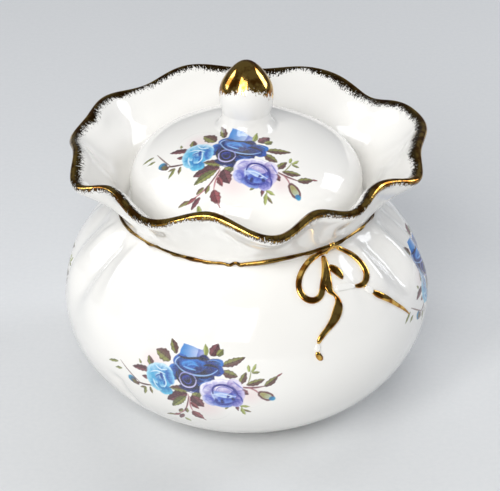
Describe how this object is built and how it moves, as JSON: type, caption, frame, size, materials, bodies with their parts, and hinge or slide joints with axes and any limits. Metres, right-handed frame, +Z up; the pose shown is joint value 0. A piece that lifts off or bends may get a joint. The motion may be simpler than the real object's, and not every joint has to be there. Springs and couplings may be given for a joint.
{
  "type": "vanity trinket box",
  "caption": "Round pouch-shaped china trinket box with a ruffled gilt collar, a relief cord tied in a bow, and a domed lift-off lid with a bud knob.",
  "frame": {"origin": "centre of the foot ring, on the surface that the box stands on", "axes": "+Z up along the box's axis, -Y towards the front, +X to the right of the front"},
  "size_m": [0.102, 0.102, 0.1],
  "materials": {
    "bone_china": "clear gloss glaze over white bone china",
    "fired_gold": "bright fired gold over glazed relief"
  },
  "bodies": {
    "pouch": {"pouch_belly": "bone_china", "ruffled_collar": "bone_china", "neck_cord": "fired_gold", "bow_knot": "fired_gold", "bow_loop_left": "fired_gold", "bow_loop_right": "fired_gold", "bow_tail_left": "fired_gold", "bow_tail_right": "fired_gold", "bow_tongue": "fired_gold"},
    "lid": {"lid": "bone_china", "lid_knob": "bone_china"}
  },
  "joints": [
    {"name": "lid_lift", "type": "slide", "parent": "pouch", "child": "lid", "axis": [0, 0, 1], "range_m": [0, 0.045]}
  ]
}
